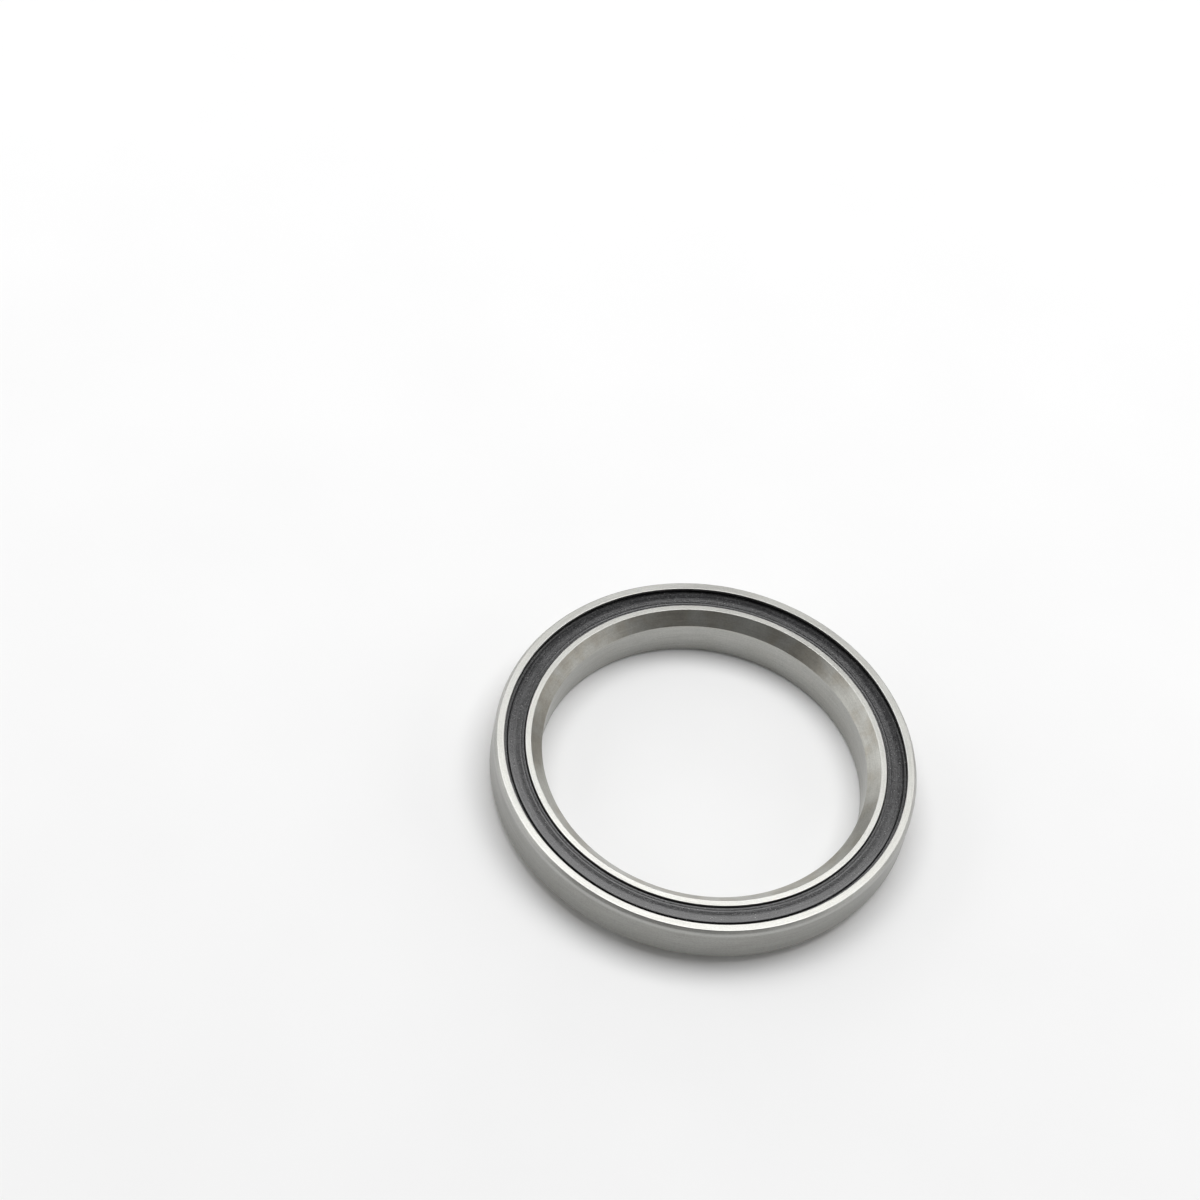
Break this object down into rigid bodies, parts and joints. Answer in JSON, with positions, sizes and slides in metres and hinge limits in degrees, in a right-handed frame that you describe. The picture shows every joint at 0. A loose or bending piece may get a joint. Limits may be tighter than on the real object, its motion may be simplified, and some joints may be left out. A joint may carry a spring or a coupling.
{
  "type": "angular contact bearing",
  "caption": "Sealed thin-section angular contact ball bearing; the outer ring has a 45 degree cone at one end and the inner ring has one at the other.",
  "frame": {"origin": "centre of the bearing: on its axis, half way between the two end faces", "axes": "+Z along the bearing axis, out of the side where the inner ring has its cone; X and Y across it, with the first ball on +X"},
  "size_m": [0.052, 0.052, 0.0066],
  "materials": {
    "ring_steel": "fine ground satin",
    "ball_steel": "polished",
    "cage_nylon": "moulded matt",
    "seal_rubber": "matt, fine moulded grain",
    "insert_steel": "pressed sheet"
  },
  "bodies": {
    "outer_ring_and_seals": {"outer_ring": "ring_steel", "upper_seal": "seal_rubber", "upper_seal_insert": "insert_steel", "lower_seal": "seal_rubber", "lower_seal_insert": "insert_steel"},
    "inner_ring": {"inner_ring": "ring_steel"},
    "cage": {"ball_cage": "cage_nylon"},
    "ball_01": {"ball_01": "ball_steel"},
    "ball_02": {"ball_02": "ball_steel"},
    "ball_03": {"ball_03": "ball_steel"},
    "ball_04": {"ball_04": "ball_steel"},
    "ball_05": {"ball_05": "ball_steel"},
    "ball_06": {"ball_06": "ball_steel"},
    "ball_07": {"ball_07": "ball_steel"},
    "ball_08": {"ball_08": "ball_steel"},
    "ball_09": {"ball_09": "ball_steel"},
    "ball_10": {"ball_10": "ball_steel"},
    "ball_11": {"ball_11": "ball_steel"},
    "ball_12": {"ball_12": "ball_steel"},
    "ball_13": {"ball_13": "ball_steel"},
    "ball_14": {"ball_14": "ball_steel"},
    "ball_15": {"ball_15": "ball_steel"},
    "ball_16": {"ball_16": "ball_steel"},
    "ball_17": {"ball_17": "ball_steel"},
    "ball_18": {"ball_18": "ball_steel"},
    "ball_19": {"ball_19": "ball_steel"},
    "ball_20": {"ball_20": "ball_steel"},
    "ball_21": {"ball_21": "ball_steel"},
    "ball_22": {"ball_22": "ball_steel"},
    "ball_23": {"ball_23": "ball_steel"},
    "ball_24": {"ball_24": "ball_steel"},
    "ball_25": {"ball_25": "ball_steel"},
    "ball_26": {"ball_26": "ball_steel"},
    "ball_27": {"ball_27": "ball_steel"},
    "ball_28": {"ball_28": "ball_steel"},
    "ball_29": {"ball_29": "ball_steel"},
    "ball_30": {"ball_30": "ball_steel"},
    "ball_31": {"ball_31": "ball_steel"},
    "ball_32": {"ball_32": "ball_steel"}
  },
  "joints": [
    {"name": "inner_ring_spin", "type": "hinge", "parent": "outer_ring_and_seals", "child": "inner_ring", "pos_m": [0, 0, 0], "axis": [0, 0, 1], "continuous": true},
    {"name": "cage_orbit", "type": "hinge", "parent": "outer_ring_and_seals", "child": "cage", "pos_m": [0, 0, 0], "axis": [0, 0, 1], "continuous": true},
    {"name": "ball_01_roll", "type": "hinge", "parent": "cage", "child": "ball_01", "pos_m": [0.023, 0, 0], "axis": [0.7071, 0, 0.7071], "continuous": true},
    {"name": "ball_02_roll", "type": "hinge", "parent": "cage", "child": "ball_02", "pos_m": [0.02256, 0.00449, 0], "axis": [0.6935, 0.1379, 0.7071], "continuous": true},
    {"name": "ball_03_roll", "type": "hinge", "parent": "cage", "child": "ball_03", "pos_m": [0.02125, 0.0088, 0], "axis": [0.6533, 0.2706, 0.7071], "continuous": true},
    {"name": "ball_04_roll", "type": "hinge", "parent": "cage", "child": "ball_04", "pos_m": [0.01912, 0.01278, 0], "axis": [0.5879, 0.3928, 0.7071], "continuous": true},
    {"name": "ball_05_roll", "type": "hinge", "parent": "cage", "child": "ball_05", "pos_m": [0.01626, 0.01626, 0], "axis": [0.5, 0.5, 0.7071], "continuous": true},
    {"name": "ball_06_roll", "type": "hinge", "parent": "cage", "child": "ball_06", "pos_m": [0.01278, 0.01912, 0], "axis": [0.3928, 0.5879, 0.7071], "continuous": true},
    {"name": "ball_07_roll", "type": "hinge", "parent": "cage", "child": "ball_07", "pos_m": [0.0088, 0.02125, 0], "axis": [0.2706, 0.6533, 0.7071], "continuous": true},
    {"name": "ball_08_roll", "type": "hinge", "parent": "cage", "child": "ball_08", "pos_m": [0.00449, 0.02256, 0], "axis": [0.1379, 0.6935, 0.7071], "continuous": true},
    {"name": "ball_09_roll", "type": "hinge", "parent": "cage", "child": "ball_09", "pos_m": [0, 0.023, 0], "axis": [0, 0.7071, 0.7071], "continuous": true},
    {"name": "ball_10_roll", "type": "hinge", "parent": "cage", "child": "ball_10", "pos_m": [-0.00449, 0.02256, 0], "axis": [-0.1379, 0.6935, 0.7071], "continuous": true},
    {"name": "ball_11_roll", "type": "hinge", "parent": "cage", "child": "ball_11", "pos_m": [-0.0088, 0.02125, 0], "axis": [-0.2706, 0.6533, 0.7071], "continuous": true},
    {"name": "ball_12_roll", "type": "hinge", "parent": "cage", "child": "ball_12", "pos_m": [-0.01278, 0.01912, 0], "axis": [-0.3928, 0.5879, 0.7071], "continuous": true},
    {"name": "ball_13_roll", "type": "hinge", "parent": "cage", "child": "ball_13", "pos_m": [-0.01626, 0.01626, 0], "axis": [-0.5, 0.5, 0.7071], "continuous": true},
    {"name": "ball_14_roll", "type": "hinge", "parent": "cage", "child": "ball_14", "pos_m": [-0.01912, 0.01278, 0], "axis": [-0.5879, 0.3928, 0.7071], "continuous": true},
    {"name": "ball_15_roll", "type": "hinge", "parent": "cage", "child": "ball_15", "pos_m": [-0.02125, 0.0088, 0], "axis": [-0.6533, 0.2706, 0.7071], "continuous": true},
    {"name": "ball_16_roll", "type": "hinge", "parent": "cage", "child": "ball_16", "pos_m": [-0.02256, 0.00449, 0], "axis": [-0.6935, 0.1379, 0.7071], "continuous": true},
    {"name": "ball_17_roll", "type": "hinge", "parent": "cage", "child": "ball_17", "pos_m": [-0.023, 0, 0], "axis": [-0.7071, 0, 0.7071], "continuous": true},
    {"name": "ball_18_roll", "type": "hinge", "parent": "cage", "child": "ball_18", "pos_m": [-0.02256, -0.00449, 0], "axis": [-0.6935, -0.1379, 0.7071], "continuous": true},
    {"name": "ball_19_roll", "type": "hinge", "parent": "cage", "child": "ball_19", "pos_m": [-0.02125, -0.0088, 0], "axis": [-0.6533, -0.2706, 0.7071], "continuous": true},
    {"name": "ball_20_roll", "type": "hinge", "parent": "cage", "child": "ball_20", "pos_m": [-0.01912, -0.01278, 0], "axis": [-0.5879, -0.3928, 0.7071], "continuous": true},
    {"name": "ball_21_roll", "type": "hinge", "parent": "cage", "child": "ball_21", "pos_m": [-0.01626, -0.01626, 0], "axis": [-0.5, -0.5, 0.7071], "continuous": true},
    {"name": "ball_22_roll", "type": "hinge", "parent": "cage", "child": "ball_22", "pos_m": [-0.01278, -0.01912, 0], "axis": [-0.3928, -0.5879, 0.7071], "continuous": true},
    {"name": "ball_23_roll", "type": "hinge", "parent": "cage", "child": "ball_23", "pos_m": [-0.0088, -0.02125, 0], "axis": [-0.2706, -0.6533, 0.7071], "continuous": true},
    {"name": "ball_24_roll", "type": "hinge", "parent": "cage", "child": "ball_24", "pos_m": [-0.00449, -0.02256, 0], "axis": [-0.1379, -0.6935, 0.7071], "continuous": true},
    {"name": "ball_25_roll", "type": "hinge", "parent": "cage", "child": "ball_25", "pos_m": [0, -0.023, 0], "axis": [0, -0.7071, 0.7071], "continuous": true},
    {"name": "ball_26_roll", "type": "hinge", "parent": "cage", "child": "ball_26", "pos_m": [0.00449, -0.02256, 0], "axis": [0.1379, -0.6935, 0.7071], "continuous": true},
    {"name": "ball_27_roll", "type": "hinge", "parent": "cage", "child": "ball_27", "pos_m": [0.0088, -0.02125, 0], "axis": [0.2706, -0.6533, 0.7071], "continuous": true},
    {"name": "ball_28_roll", "type": "hinge", "parent": "cage", "child": "ball_28", "pos_m": [0.01278, -0.01912, 0], "axis": [0.3928, -0.5879, 0.7071], "continuous": true},
    {"name": "ball_29_roll", "type": "hinge", "parent": "cage", "child": "ball_29", "pos_m": [0.01626, -0.01626, 0], "axis": [0.5, -0.5, 0.7071], "continuous": true},
    {"name": "ball_30_roll", "type": "hinge", "parent": "cage", "child": "ball_30", "pos_m": [0.01912, -0.01278, 0], "axis": [0.5879, -0.3928, 0.7071], "continuous": true},
    {"name": "ball_31_roll", "type": "hinge", "parent": "cage", "child": "ball_31", "pos_m": [0.02125, -0.0088, 0], "axis": [0.6533, -0.2706, 0.7071], "continuous": true},
    {"name": "ball_32_roll", "type": "hinge", "parent": "cage", "child": "ball_32", "pos_m": [0.02256, -0.00449, 0], "axis": [0.6935, -0.1379, 0.7071], "continuous": true}
  ],
  "couplings": [
    {"joint": "cage_orbit", "follows": "inner_ring_spin", "ratio": 0.4756},
    {"joint": "ball_01_roll", "follows": "inner_ring_spin", "ratio": -7.2268},
    {"joint": "ball_02_roll", "follows": "inner_ring_spin", "ratio": -7.2268},
    {"joint": "ball_03_roll", "follows": "inner_ring_spin", "ratio": -7.2268},
    {"joint": "ball_04_roll", "follows": "inner_ring_spin", "ratio": -7.2268},
    {"joint": "ball_05_roll", "follows": "inner_ring_spin", "ratio": -7.2268},
    {"joint": "ball_06_roll", "follows": "inner_ring_spin", "ratio": -7.2268},
    {"joint": "ball_07_roll", "follows": "inner_ring_spin", "ratio": -7.2268},
    {"joint": "ball_08_roll", "follows": "inner_ring_spin", "ratio": -7.2268},
    {"joint": "ball_09_roll", "follows": "inner_ring_spin", "ratio": -7.2268},
    {"joint": "ball_10_roll", "follows": "inner_ring_spin", "ratio": -7.2268},
    {"joint": "ball_11_roll", "follows": "inner_ring_spin", "ratio": -7.2268},
    {"joint": "ball_12_roll", "follows": "inner_ring_spin", "ratio": -7.2268},
    {"joint": "ball_13_roll", "follows": "inner_ring_spin", "ratio": -7.2268},
    {"joint": "ball_14_roll", "follows": "inner_ring_spin", "ratio": -7.2268},
    {"joint": "ball_15_roll", "follows": "inner_ring_spin", "ratio": -7.2268},
    {"joint": "ball_16_roll", "follows": "inner_ring_spin", "ratio": -7.2268},
    {"joint": "ball_17_roll", "follows": "inner_ring_spin", "ratio": -7.2268},
    {"joint": "ball_18_roll", "follows": "inner_ring_spin", "ratio": -7.2268},
    {"joint": "ball_19_roll", "follows": "inner_ring_spin", "ratio": -7.2268},
    {"joint": "ball_20_roll", "follows": "inner_ring_spin", "ratio": -7.2268},
    {"joint": "ball_21_roll", "follows": "inner_ring_spin", "ratio": -7.2268},
    {"joint": "ball_22_roll", "follows": "inner_ring_spin", "ratio": -7.2268},
    {"joint": "ball_23_roll", "follows": "inner_ring_spin", "ratio": -7.2268},
    {"joint": "ball_24_roll", "follows": "inner_ring_spin", "ratio": -7.2268},
    {"joint": "ball_25_roll", "follows": "inner_ring_spin", "ratio": -7.2268},
    {"joint": "ball_26_roll", "follows": "inner_ring_spin", "ratio": -7.2268},
    {"joint": "ball_27_roll", "follows": "inner_ring_spin", "ratio": -7.2268},
    {"joint": "ball_28_roll", "follows": "inner_ring_spin", "ratio": -7.2268},
    {"joint": "ball_29_roll", "follows": "inner_ring_spin", "ratio": -7.2268},
    {"joint": "ball_30_roll", "follows": "inner_ring_spin", "ratio": -7.2268},
    {"joint": "ball_31_roll", "follows": "inner_ring_spin", "ratio": -7.2268},
    {"joint": "ball_32_roll", "follows": "inner_ring_spin", "ratio": -7.2268}
  ]
}
